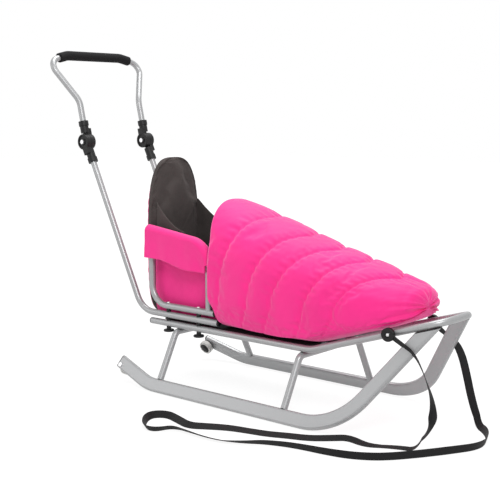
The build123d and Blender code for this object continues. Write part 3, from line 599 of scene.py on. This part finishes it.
class SLED_OT_strap(bpy.types.Operator):
    """Tow strap: flat webbing that stands partly on its edge along the floor."""
    bl_idname = "sled.strap"
    bl_label = "Tow strap"

    def execute(self, context):
        sizes = context.scene.sled_sizes
        route = STRAP_ROUTE + [SHIFT, 0, 0]
        line = route_line(route, "strap route")
        far = np.r_[0, np.cumsum(np.linalg.norm(np.diff(line, axis=0), axis=1))]
        share = far / far[-1]
        tilt = np.radians(np.interp(share, STRAP_TILT[:, 0], STRAP_TILT[:, 1]))
        half = sizes.strap_width / 2
        tangent = unit(np.gradient(line, axis=0))
        level = unit(np.cross(tangent, [0, 0, 1.0]))
        rise = unit(np.cross(level, tangent))
        across = level * np.cos(tilt)[:, None] + rise * np.sin(tilt)[:, None]
        normal = np.cross(tangent, across)
        on_floor = np.clip((0.03 - line[:, 2]) / 0.02, 0, 1)
        line = line.copy()
        floor_z = np.abs(across[:, 2]) * half + np.abs(normal[:, 2]) * sizes.strap_thick / 2 + 0.0002
        line[:, 2] = np.maximum(line[:, 2], floor_z) * (1 - on_floor) + floor_z * on_floor
        # Section of the webbing: a thin rounded bar, carried along the line
        a = np.linspace(0, 2 * np.pi, 20, endpoint=False)
        u = power(np.cos(a), 0.35) * half
        w = power(np.sin(a), 0.55) * sizes.strap_thick / 2
        pts = line[:, None] + across[:, None] * u[None, :, None] + normal[:, None] * w[None, :, None]
        strap = outward(surface("tow_webbing", pts, wrap=True, ends=True, uv_scale=(0.044, far[-1])))
        dress(strap, "webbing")
        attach(strap, "sled")
        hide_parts("tow_strap")
        return {"FINISHED"}


# Muff

BAG_TABLE = np.array([
    # station, half width, top, underside
    (-180, 142, 540, 189), (-85, 145, 522, 189), (60, 151, 480, 189), (200, 147, 434, 189),
    (260, 143, 417, 193), (300, 139, 406, 205), (380, 127, 383, 231), (440, 108, 364, 250),
    (480, 84, 349, 266), (502, 54, 335, 280), (511, 18, 317, 294),
]) / 1000
# Heights on the bag's mouth and the station of its edge there: a hood on top, clear of the tubes' ends below
MOUTH_Z = np.array((210, 246, 266, 430, 540)) / 1000
MOUTH_X = np.array((-58, -60, -79, -82, -119)) / 1000
SEAM_TOP = np.array((29, 156, 249, 337, 437)) / 1000
SEAM_SIDE = np.array((-42, 60, 137, 235, 322)) / 1000


def bag_section(theta, x, inset=0.0):
    """Bag's surface: at each station a rounded section, fuller above its widest line than below it.

    Across: half width times cos(theta) to a power. Up: from the widest line, the height above or
    below it times sin(theta) to a power.
    """
    half = hermite(BAG_TABLE[:, 0], BAG_TABLE[:, 1], x) - inset
    top = hermite(BAG_TABLE[:, 0], BAG_TABLE[:, 2], x) - inset
    low = hermite(BAG_TABLE[:, 0], BAG_TABLE[:, 3], x) + inset
    wide = low + 0.40 * (top - low)
    c = np.cos(theta)
    s = np.sin(theta)
    sharp = np.where(s > 0, 2.3, 4.2)
    y = half * power(c, 2 / sharp)
    z = wide + np.where(s > 0, top - wide, wide - low) * power(s, 2 / sharp)
    # The lower edge sags a little past the rails, where the seat is level
    past = np.clip((np.abs(y) - 0.129) / 0.009, 0, 1)
    past = past * np.clip((0.31 - x) / 0.06, 0, 1) * np.clip((x + 0.05) / 0.03, 0, 1)
    z = z - 0.022 * past * np.clip((0.245 - z) / 0.05, 0, 1)
    return np.stack([x + SHIFT + 0 * y, y, z], -1)


def seam_station(theta, k):
    """Station of a quilt seam round the bag: furthest forward at the top, sweeping back to the sides."""
    sweep = np.maximum(1 - np.sin(theta), 0) ** 0.55
    return SEAM_TOP[k] + (SEAM_SIDE[k] - SEAM_TOP[k]) * sweep


class SLED_OT_bag(bpy.types.Operator):
    """Leg bag: quilted padded shell with an open mouth, a lined inside and a gathered toe."""
    bl_idname = "sled.bag"
    bl_label = "Leg bag"

    def execute(self, context):
        sizes = context.scene.sled_sizes
        rows, cols = sizes.bag_rows, sizes.bag_cols
        theta = np.linspace(0, 2 * np.pi, cols, endpoint=False)[None, :] - np.pi / 2
        # Mouth to toe; rows crowd towards the toe
        t = np.linspace(0, 1, rows)[:, None]
        end = BAG_TABLE[-1, 0]
        edge_z = bag_section(theta, np.full_like(theta, -0.085))[..., 2]
        start = np.interp(edge_z, MOUTH_Z, MOUTH_X)
        start = (np.roll(start, 1, 1) + 2 * start + np.roll(start, -1, 1)) / 4
        x = start + (end - start) * (1 - (1 - t) ** 1.15)
        pts = bag_section(theta + 0 * x, x)
        # Swell between seams and pull in along them
        seams = np.stack([seam_station(theta + 0 * x, k) for k in range(len(SEAM_TOP))])
        first = (start - 0.10 + 0 * x)[None]
        edges = np.concatenate([first, seams, np.full((1, *x.shape), end + 0.03)])
        lane = (x[None] > edges[1:-1]).sum(0)
        low = np.take_along_axis(edges, lane[None], 0)[0]
        high = np.take_along_axis(edges, (lane + 1)[None], 0)[0]
        q = np.clip((x - low) / np.maximum(high - low, 1e-6), 0, 1)
        near = np.min(np.abs(x[None] - seams), 0)
        under = np.clip((np.sin(theta) + 0.75) / 0.5, 0, 1)
        swell = sizes.puff * (1 - np.abs(2 * q - 1) ** 2.2) - sizes.seam_depth * np.exp(-(near / 0.0036) ** 2)
        pucker = (0.0022 * np.sin(theta * 46 + 3 * lane + 2.2 * ripple(theta * 6, x * 40, 5))
                  * np.exp(-near / 0.016))
        pucker += 0.0020 * ripple(theta * 7, x * 38, 11, 5)
        gather = np.exp(-((end - x) / 0.08) ** 2) * np.clip(0.6 - np.sin(theta), 0, 1)
        pucker += gather * 0.006 * np.sin(theta * 17 + 2.5 * ripple(theta * 4, x * 20, 23, 3))
        grow = unit(np.cross(np.gradient(pts, axis=1), np.gradient(pts, axis=0)))
        centre = pts.mean(1, keepdims=True)
        grow *= np.sign(np.sum(grow * (pts - centre), -1, keepdims=True))
        pts = pts + grow * ((swell + pucker) * under)[..., None]
        # Mouth rim and inside wall
        wall = sizes.pad_wall
        turn = np.linspace(0, np.pi, 9)[1:-1][:, None]
        rim_in = wall / 2 * (1 - np.cos(turn))
        rim_x = start - wall / 2 * np.sin(turn)
        rim = bag_section(theta, start + 0 * turn, rim_in)
        rim[..., 0] = rim_x + SHIFT
        deep = np.linspace(0, 1, 24)[:, None]
        inner_x = start + (0.24 - start) * deep
        shrink = wall + 0.02 * deep + 0.045 * np.clip(deep - 0.85, 0, 1) / 0.15
        inner = bag_section(theta + 0 * deep, inner_x, shrink)
        ruck = 0.003 * ripple(theta * 5, inner_x * 30, 31)[..., None]
        inner += ruck * unit(inner - inner.mean(1, keepdims=True))
        whole = np.concatenate([inner[::-1], rim[::-1], pts])
        bag = outward(surface("leg_bag", whole, wrap=True, ends=True, uv_scale=(0.85, 1.0)))
        # Seams, the underside, the rim and the lining hold; the lanes between them swell
        inside = inner.shape[0] + rim.shape[0]
        hold = np.ones((whole.shape[0], cols))
        hold[inside:] = np.maximum(np.exp(-(near / 0.005) ** 2), 1 - under * np.ones_like(near))
        pins = np.r_[np.clip(hold, 0, 1).ravel(), 1.0, 1.0]
        inflate(bag, pins, 2.0, 14, 0.0028, 0.03)
        dress(bag, "shell", "lining")
        faces = np.arange(len(bag.data.polygons))
        paint_faces(bag, 1, (faces < (inside - 3) * cols) | (faces == len(faces) - 2 * cols))
        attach(bag, "sled")
        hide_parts("muff_bag")
        subdivide(bag)
        return {"FINISHED"}


class SLED_OT_back(bpy.types.Operator):
    """Back panel: padded, shell cloth behind and lining in front, with an arched top."""
    bl_idname = "sled.back"
    bl_label = "Back panel"

    def execute(self, context):
        low, high = (np.array(c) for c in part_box("muff_back"))
        cols, rows = 150, 70
        theta = np.linspace(0, 2 * np.pi, cols, endpoint=False)[None, :]
        phi = np.linspace(-np.pi / 2, np.pi / 2, rows + 2)[1:-1][:, None]
        half_y = (high[1] - low[1]) / 2
        half_z = (high[2] - low[2]) / 2
        mid = (low + high) / 2
        # Outline: a rounded panel, arched at the top; face: nearly flat, rolled at the rim
        reach = np.cos(phi) ** 0.28
        sharp = np.where(np.sin(theta) > 0, 0.62, 0.42)
        z = half_z * power(np.sin(theta), sharp) * reach
        narrow = 1 - 0.10 * np.clip(z / half_z, 0, 1) ** 2
        y = half_y * power(np.cos(theta), sharp) * reach * narrow
        depth = (high[0] - low[0]) / 2
        face = power(np.sin(phi), 0.75) * depth * (0.86 + 0.14 * np.cos(y / half_y * np.pi / 2))
        front = (phi > 0) * np.ones_like(theta)
        crease = 0.007 * np.exp(-((y - 0.015 * np.sin(z * 9)) / 0.016) ** 2)
        crease = crease * np.exp(-((z + 0.02) / 0.12) ** 2)
        wave = 0.004 * ripple(y * 34, z * 26, 3, 4)
        x = face + (wave - crease) * front * np.sin(phi)
        pts = np.stack([mid[0] + x, mid[1] + y, mid[2] + z], -1)
        back = outward(surface("back_panel", pts, wrap=True, ends=True, uv_scale=(1.2, 0.5)))
        rim = np.abs(phi[:, 0]) < 0.25
        pins = np.r_[(rim[:, None] * np.ones(cols)).ravel(), 0, 0]
        inflate(back, pins, 1.6, 12, 0.006, 0.03)
        dress(back, "shell", "lining")
        # Lining on the front and just round the edge, a little further at the top; shell cloth behind
        row_phi = ((phi[:-1] + phi[1:]) / 2 + 0 * theta).ravel()
        row_up = np.clip(np.sin(theta) + 0 * phi[:-1], 0, 1).ravel()
        lined = row_phi > -0.12 - 0.20 * row_up
        paint_faces(back, 1, np.r_[lined, np.zeros(cols, bool), np.ones(cols, bool)])
        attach(back, "sled")
        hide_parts("muff_back")
        subdivide(back)
        return {"FINISHED"}


# Armrest tube's top corners, in side view, and the radius of its front bend
ARM_REAR = np.array((-0.320, 0.436))
ARM_FRONT = np.array((-0.101, 0.408))
ARM_BEND = 0.066


class SLED_OT_sides(bpy.types.Operator):
    """Side panels inside the armrest loops, and flaps folded over the armrests."""
    bl_idname = "sled.sides"
    bl_label = "Side panels and flaps"

    def execute(self, context):
        for name, side in (("left", 1), ("right", -1)):
            low, high = (np.array(c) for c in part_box(f"muff_side_{name}"))
            cols, rows = 90, 30
            theta = np.linspace(0, 2 * np.pi, cols, endpoint=False)[None, :]
            phi = np.linspace(-np.pi / 2, np.pi / 2, rows + 2)[1:-1][:, None]
            mid = (low + high) / 2
            half = (high - low) / 2
            reach = np.cos(phi) ** 0.22
            x = half[0] * power(np.cos(theta), 0.3) * reach
            z = half[2] * power(np.sin(theta), 0.3) * reach
            y = half[1] * power(np.sin(phi), 0.8) * (0.7 + 0.3 * np.cos(x / half[0] * 1.4))
            y = y + 0.0022 * ripple(x * 40, z * 30, 7 + side, 5) * np.sin(phi)
            panel = outward(surface(f"side_panel_{name}", mid + np.stack([x, y, z], -1), wrap=True, ends=True,
                                    uv_scale=(0.8, 0.4)))
            dress(panel, "shell", "lining")
            paint_faces(panel, 1, (face_centres(panel)[:, 1] - mid[1]) * side < -0.002)
            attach(panel, "sled")
            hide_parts(f"muff_side_{name}")
            subdivide(panel)

            # Flap: a thin folded section carried along the armrest and round its front bend
            pitch = np.arctan2(ARM_REAR[1] - ARM_FRONT[1], ARM_FRONT[0] - ARM_REAR[0])
            ahead = np.array([np.cos(pitch), -np.sin(pitch)])
            over = np.array([np.sin(pitch), np.cos(pitch)])
            sweep = np.pi / 2 - pitch
            tail = ARM_REAR - 0.013 * ahead / ahead[0]
            bend = ARM_FRONT - ahead * ARM_BEND * np.tan(sweep / 2)
            straight = tail + (bend - tail) * np.linspace(0, 1, 60)[:, None]
            turn = np.linspace(0, sweep * 0.92, 46)[1:, None]
            arc = bend - over * ARM_BEND + (over * np.cos(turn) + ahead * np.sin(turn)) * ARM_BEND
            rise = np.concatenate([np.tile(over, (60, 1)), over * np.cos(turn) + ahead * np.sin(turn)])
            line = np.concatenate([straight, arc])
            run = line[:, :1]
            hem = 0.3637 - np.tan(pitch) * (run - tail[0]) + 0.003 * np.sin(run * 38 + side)
            drop_out = np.maximum(line[:, 1:] - hem, 0.002)
            drop_in = np.maximum(line[:, 1:] - hem - 0.034, 0.002)
            k = np.r_[np.linspace(1, 0, 14), np.zeros(18), np.zeros(26)]
            below_in = k * drop_in
            k = np.r_[np.zeros(14), np.zeros(18), np.linspace(0, 1, 26)]
            below_out = k * drop_out
            ang = np.r_[np.zeros(14), np.linspace(0, np.pi, 20)[1:-1], np.full(26, np.pi)][None, :]
            flare = 0.006 * (below_out / 0.09) ** 1.5 * (1 + 0.6 * np.sin(run * 32 + 1))
            wave = 0.0026 * ripple(run * 42, below_out * 30, 41 + side, 4) * np.clip(below_out / 0.03, 0, 1)

            def leaf(radius, extra):
                y = -np.cos(ang) * radius + 0.8 * flare + extra
                lift = np.sin(ang) * radius
                x = run + lift * rise[:, :1]
                z = line[:, 1:] + lift * rise[:, 1:] - below_in - below_out
                return np.stack([x + SHIFT, side * (RAIL_HALF + y), z], -1)

            outer = leaf(0.0172, wave)
            inner = leaf(0.0112, np.maximum(wave, -0.0005))
            pts = np.concatenate([outer, inner[:, ::-1]], 1)
            flap = outward(surface(f"armrest_flap_{name}", pts, wrap=True, strip=True, uv_scale=(0.4, 0.26)))
            dress(flap, "shell", "lining")
            # Lining on the leaf that faces the seat
            paint_faces(flap, 1, np.abs(face_centres(flap)[:, 1]) < RAIL_HALF - 0.009)
            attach(flap, "sled")
            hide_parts(f"muff_wing_{name}")
            subdivide(flap)
        return {"FINISHED"}


class SLED_OT_gussets(bpy.types.Operator):
    """Lining gussets that close the corners between the back panel and the armrests."""
    bl_idname = "sled.gussets"
    bl_label = "Corner gussets"

    def execute(self, context):
        u = np.linspace(0, 1, 40)[:, None]
        for name, side in (("left", 1), ("right", -1)):
            # Upright leaf: its top edge falls in a hollow curve from the back panel to the armrest
            ring = np.linspace(0, 2 * np.pi, 60, endpoint=False)[None, :]
            v = 0.5 + 0.5 * power(np.sin(ring), 0.25)
            thick = 0.0022 * power(np.cos(ring), 0.5)
            x = -0.336 + 0.125 * u + SHIFT
            top = 0.440 + 0.078 * (1 - u) ** 1.7
            z = 0.330 + (top - 0.330) * v
            y = 0.0835 + 0.0155 * u**0.6 + thick
            y = y + 0.0012 * ripple(u * 9, v * 7, 61 + side)
            pts = np.stack([x + 0 * v, side * y, z], -1)
            leaf = outward(surface(f"corner_gusset_{name}", pts, wrap=True, ends=True, uv_scale=(0.4, 0.13)))
            dress(leaf, "lining")
            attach(leaf, "sled")
            subdivide(leaf)
        return {"FINISHED"}


class SLED_OT_floor_pad(bpy.types.Operator):
    """Muff's floor: a thin dark pad on the slats."""
    bl_idname = "sled.floor_pad"
    bl_label = "Muff floor"

    def execute(self, context):
        low, high = (np.array(c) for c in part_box("muff_floor"))
        mid = (low + high) / 2
        half = (high - low) / 2
        theta = np.linspace(0, 2 * np.pi, 120, endpoint=False)[None, :]
        phi = np.linspace(-np.pi / 2, np.pi / 2, 26)[1:-1][:, None]
        reach = np.cos(phi) ** 0.25
        x = half[0] * power(np.cos(theta), 0.22) * reach
        y = half[1] * power(np.sin(theta), 0.22) * reach
        z = half[2] * power(np.sin(phi), 0.6)
        z = z - 0.0015 * (1 + np.sin(x * 90)) * (phi > 0) * np.sin(phi) ** 2
        pad = outward(surface("floor_pad", mid + np.stack([x, y, z + 0 * x], -1), wrap=True, ends=True,
                              uv_scale=(1.4, 0.3)))
        dress(pad, "floor_cloth")
        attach(pad, "sled")
        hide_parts("muff_floor")
        subdivide(pad)
        return {"FINISHED"}


# Handle: corners of its left side from the sleeve up (along, across, up) and the bends at them; the grip's
# run down each end of the top, its rounded rim and the step between its sections
BAR_CORNERS = np.array([(-598.1, 120, 708.3), (-621, 120, 803), (-682, 186, 919), (-691, 105, 938)]) / 1000
BAR_BENDS = np.array((60, 32, 60)) / 1000
GRIP_LEG = 0.038
GRIP_ROUND = 0.004
GRIP_STEP = 0.001


class SLED_OT_handle(bpy.types.Operator):
    """Handle bar, flared outwards below its top, and the foam grip on the top run."""
    bl_idname = "sled.handle"
    bl_label = "Handle"

    def execute(self, context):
        sizes = context.scene.sled_sizes
        left = BAR_CORNERS + [SHIFT, 0, 0]
        whole = np.concatenate([left, (left * [1, -1, 1])[::-1]])
        path = rounded_run(whole, np.r_[BAR_BENDS, BAR_BENDS[::-1]])
        bar = tube("handle_bar", path, sizes.bar_width / 2, 28, (1, 0, 0))
        dress(bar, "silver")
        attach(bar, "handle")
        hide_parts("handle_tube")
        # Grip: a thicker round on the top run, a little way down both ends, with rounded rims
        end = left[3] + unit(left[2] - left[3]) * GRIP_LEG
        run = np.stack([end, left[3], left[3] * [1, -1, 1], end * [1, -1, 1]])
        top = rounded_run(run, BAR_BENDS[2:].repeat(2), GRIP_STEP)
        station = np.arange(len(top))
        from_end = np.minimum(station, station[::-1]) * GRIP_STEP
        rim = np.clip(1 - from_end / GRIP_ROUND, 0, 1)
        thick = sizes.grip_width / 2 * (0.72 + 0.28 * np.sqrt(1 - rim**2))
        foam = tube("handle_foam", top, thick, 32, (1, 0, 0))
        dress(foam, "foam")
        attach(foam, "handle")
        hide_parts("grip")
        return {"FINISHED"}


# Small fittings

class SLED_OT_fittings(bpy.types.Operator):
    """Hub caps of the wheels and bolts of the tow knobs."""
    bl_idname = "sled.fittings"
    bl_label = "Fittings"

    def execute(self, context):
        joints = {j["name"]: j for j in frame["record"]["behaviour"]["joints"]}
        dome = np.linspace(0, np.pi / 2, 7)
        for name, side in (("left", 1), ("right", -1)):
            spin = joints[f"wheel_{name}_spin"]
            axis = np.array(spin["axis"])
            hub_at = np.array(spin["pos_m"]) - axis * 0.0264
            profile = [(0.0030, 0.0152), (0.0005, 0.0152), (0.0, 0.0147), (0.0, 0.0104), (-0.0036, 0.0088),
                       (-0.0043, 0.0081), (-0.0046, 0.0068), (-0.0046, 0.0010)]
            hub = turned(f"wheel_hub_{name}", profile, hub_at, axis, 48)
            dress(hub, "plastic")
            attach(hub, f"wheel_{name}_body")
            low, high = (np.array(c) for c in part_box(f"tow_knob_{name}"))
            out = np.array([0.1418, side * 0.9899, 0.0])
            face = (low + high) / 2 + out * 0.0042
            head = [(0.0018 * np.sin(a), 0.0042 * np.cos(a) + 0.0002) for a in dome]
            bolt = turned(f"tow_bolt_{name}", [(-0.0006, 0.0044)] + head, face, out, 28)
            dress(bolt, "zinc")
            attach(bolt, "sled")
        return {"FINISHED"}


class SLED_OT_coats(bpy.types.Operator):
    """Finishes of the frame's own pieces."""
    bl_idname = "sled.coats"
    bl_label = "Frame finishes"

    def execute(self, context):
        by_slot = {"silver_paint": "silver", "slat_grey": "slat", "zinc_steel": "zinc",
                   "black_plastic": "plastic", "foam": "foam", "wheel_grey": "wheel", "pink_fabric": "shell",
                   "lining_fabric": "lining", "black_fabric": "floor_cloth", "webbing": "webbing"}
        for part in frame["record"]["subparts"]:
            coat_node(part["node"], by_slot[part["material_slot"]])
        return {"FINISHED"}


# Stage

def area_light(name, place, aim, size, watts):
    """Soft square lamp that looks at a point."""
    data = bpy.data.lights.new(name, "AREA")
    data.shape = "SQUARE"
    data.size = size
    data.energy = watts
    lamp = bpy.data.objects.new(name, data)
    bpy.context.scene.collection.objects.link(lamp)
    lamp.location = place
    look_at(lamp, aim)


def look_at(obj, aim):
    """Turns an object so that its -Z axis points at a place."""
    direction = Vector(aim) - obj.location
    obj.rotation_euler = direction.to_track_quat("-Z", "Y").to_euler()


class SLED_OT_stage(bpy.types.Operator):
    """Pale floor, soft light and the camera."""
    bl_idname = "sled.stage"
    bl_label = "Stage"

    def execute(self, context):
        scene = context.scene
        scene.view_settings.view_transform = "Standard"
        sizes = scene.sled_sizes
        grid = np.linspace(-12, 12, 9)
        x, y = np.meshgrid(grid, grid, indexing="ij")
        floor = surface("floor", np.stack([y, x, 0 * x - 0.0004], -1))
        mat, tree, shader, add = finish_nodes("pale floor")
        set_sockets(shader, Roughness=0.9)
        shader.inputs["Base Color"].default_value = (0.9, 0.9, 0.9, 1)
        shader.inputs["Specular IOR Level"].default_value = 0.0
        path = add("ShaderNodeLightPath")
        white = add("ShaderNodeEmission")
        white.inputs[1].default_value = 1.12
        seen = add("ShaderNodeMath", [(path.outputs["Is Camera Ray"], 0), (path.outputs["Is Glossy Ray"], 1)],
                   operation="MAXIMUM")
        place = add("ShaderNodeTexCoord")
        far = add("ShaderNodeVectorMath", [(place.outputs["Object"], 0)], operation="LENGTH")
        pale = add("ShaderNodeMapRange", [(far.outputs["Value"], 0)], in_1=0.9, in_2=2.6, in_3=0.80, in_4=1.0)
        share = add("ShaderNodeMath", [(seen.outputs[0], 0), (pale.outputs[0], 1)], operation="MULTIPLY")
        blend = add("ShaderNodeMixShader",
                    [(share.outputs[0], 0), (shader.outputs[0], 1), (white.outputs[0], 2)])
        tree.links.new(blend.outputs[0], tree.nodes["Material Output"].inputs[0])
        floor.data.materials.append(mat)

        world = bpy.data.worlds.new("soft room")
        scene.world = world
        world.use_nodes = True
        nodes = world.node_tree.nodes
        links = world.node_tree.links
        back = nodes["Background"]
        back.inputs[0].default_value = (1, 1, 1, 1)
        path = nodes.new("ShaderNodeLightPath")
        glossy = nodes.new("ShaderNodeMath")
        glossy.operation = "MAXIMUM"
        links.new(path.outputs["Is Camera Ray"], glossy.inputs[0])
        links.new(path.outputs["Is Glossy Ray"], glossy.inputs[1])
        clear = nodes.new("ShaderNodeMath")
        clear.operation = "MAXIMUM"
        links.new(glossy.outputs[0], clear.inputs[0])
        links.new(path.outputs["Is Transmission Ray"], clear.inputs[1])
        level = nodes.new("ShaderNodeMapRange")
        links.new(clear.outputs[0], level.inputs[0])
        level.inputs[3].default_value = 0.42
        level.inputs[4].default_value = 1.0
        links.new(level.outputs[0], back.inputs[1])

        aim = (sizes.aim_x, 0.0, sizes.aim_z)
        area_light("key", (2.2, -1.9, 2.6), aim, 1.3, 64)
        area_light("fill", (-2.2, -2.4, 1.4), aim, 1.8, 13)
        area_light("top", (-0.3, 0.5, 3.0), (0, 0, 0.3), 1.8, 62)

        a = np.radians(sizes.azimuth)
        e = np.radians(sizes.elevation)
        data = bpy.data.cameras.new("view")
        data.sensor_width = 36
        data.lens = sizes.focal
        camera = bpy.data.objects.new("view", data)
        scene.collection.objects.link(camera)
        camera.location = (aim[0] + np.sin(a) * np.cos(e) * sizes.distance,
                           -np.cos(a) * np.cos(e) * sizes.distance, aim[2] + np.sin(e) * sizes.distance)
        look_at(camera, aim)
        scene.camera = camera
        return {"FINISHED"}


class SLED_PT_panel(bpy.types.Panel):
    """Lists the sled's pieces and settings."""
    bl_idname = "SLED_PT_panel"
    bl_label = "Push sled"
    bl_space_type = "VIEW_3D"
    bl_region_type = "UI"
    bl_category = "Sled"

    def draw(self, context):
        for operator in OPERATORS:
            self.layout.operator(operator.bl_idname)
        for group in (context.scene.sled_sizes, context.scene.sled_finishes):
            for key in group.__annotations__:
                self.layout.prop(group, key)


OPERATORS = (SLED_OT_stage, SLED_OT_coats, SLED_OT_strap, SLED_OT_bag, SLED_OT_back, SLED_OT_sides,
             SLED_OT_gussets, SLED_OT_floor_pad, SLED_OT_handle, SLED_OT_fittings)
CLASSES = (SledFinishes, SledSizes, *OPERATORS, SLED_PT_panel)


def register():
    for cls in CLASSES:
        bpy.utils.register_class(cls)
    bpy.types.Scene.sled_finishes = PointerProperty(type=SledFinishes)
    bpy.types.Scene.sled_sizes = PointerProperty(type=SledSizes)


def unregister():
    del bpy.types.Scene.sled_sizes
    del bpy.types.Scene.sled_finishes
    for cls in reversed(CLASSES):
        bpy.utils.unregister_class(cls)


def main():
    register()
    bpy.ops.sled.stage()
    bpy.ops.sled.coats()
    bpy.ops.sled.strap()
    bpy.ops.sled.bag()
    bpy.ops.sled.back()
    bpy.ops.sled.sides()
    bpy.ops.sled.gussets()
    bpy.ops.sled.floor_pad()
    bpy.ops.sled.handle()
    bpy.ops.sled.fittings()
    bpy.context.view_layer.update()


if __name__ == "__main__":
    main()
